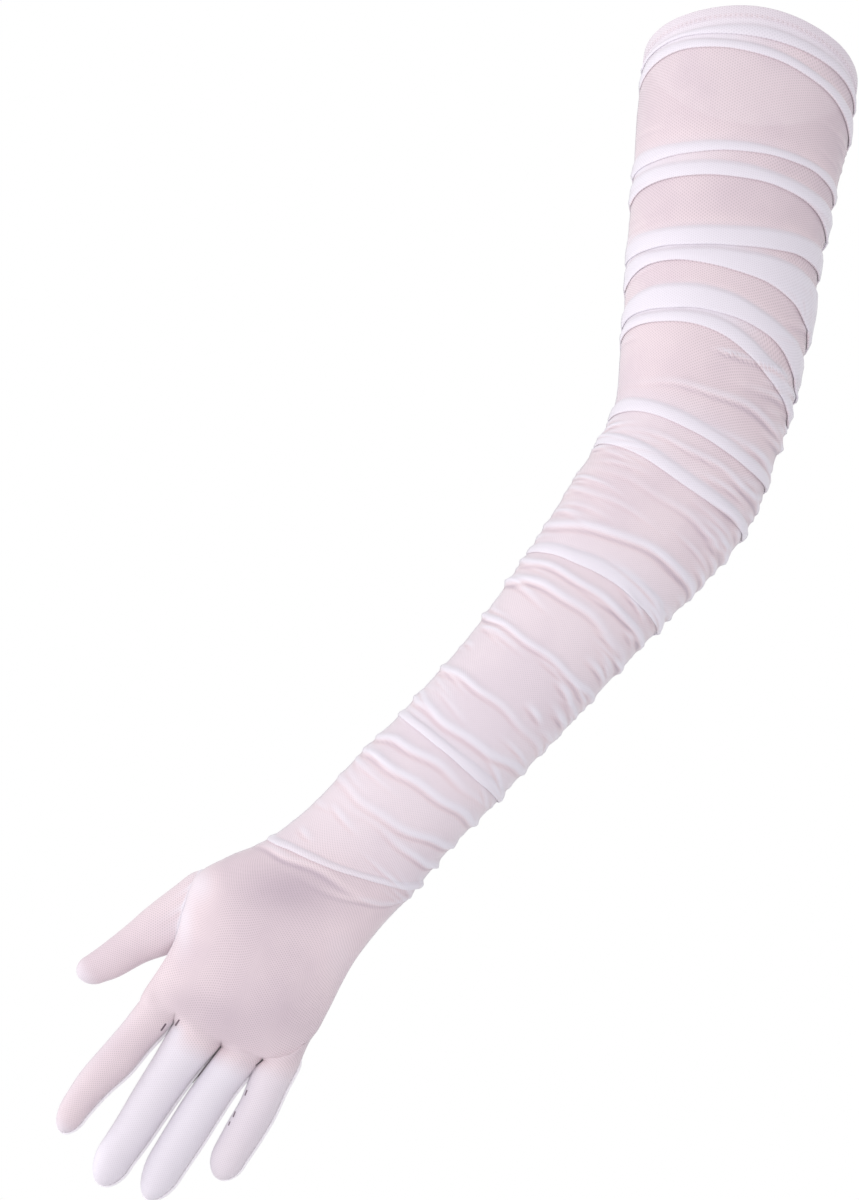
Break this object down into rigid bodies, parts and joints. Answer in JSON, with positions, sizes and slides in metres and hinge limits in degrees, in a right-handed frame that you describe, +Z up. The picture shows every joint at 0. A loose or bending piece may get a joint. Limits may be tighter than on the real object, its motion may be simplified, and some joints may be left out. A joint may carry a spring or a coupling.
{
  "type": "sheer opera glove",
  "caption": "Long sheer net glove for the left hand, its sleeve gathered in soft folds, with a set-in thumb and a turned hem round a slanted cuff opening.",
  "frame": {"origin": "middle of the cuff opening, where the arm goes in", "axes": "+Z up along the upper arm, -Y the side of the back of the hand, -X the side of the thumb"},
  "size_m": [0.3624, 0.1519, 0.5362],
  "materials": {
    "sheer_net": "fine sheer stretch net, palest pink where single and whiter where folded",
    "hem_net": "the same net turned and stitched double"
  },
  "bodies": {
    "root": {"upper_arm_back": "sheer_net", "upper_arm_palm": "sheer_net", "elbow_back": "sheer_net", "elbow_palm": "sheer_net", "forearm_back": "sheer_net", "forearm_palm": "sheer_net", "wrist_back": "sheer_net", "wrist_palm": "sheer_net", "hand_back": "sheer_net", "hand_palm": "sheer_net", "index_back": "sheer_net", "index_palm": "sheer_net", "middle_back": "sheer_net", "middle_palm": "sheer_net", "ring_back": "sheer_net", "ring_palm": "sheer_net", "little_back": "sheer_net", "little_palm": "sheer_net", "thumb_stall": "sheer_net", "hem_band": "hem_net"}
  },
  "joints": []
}
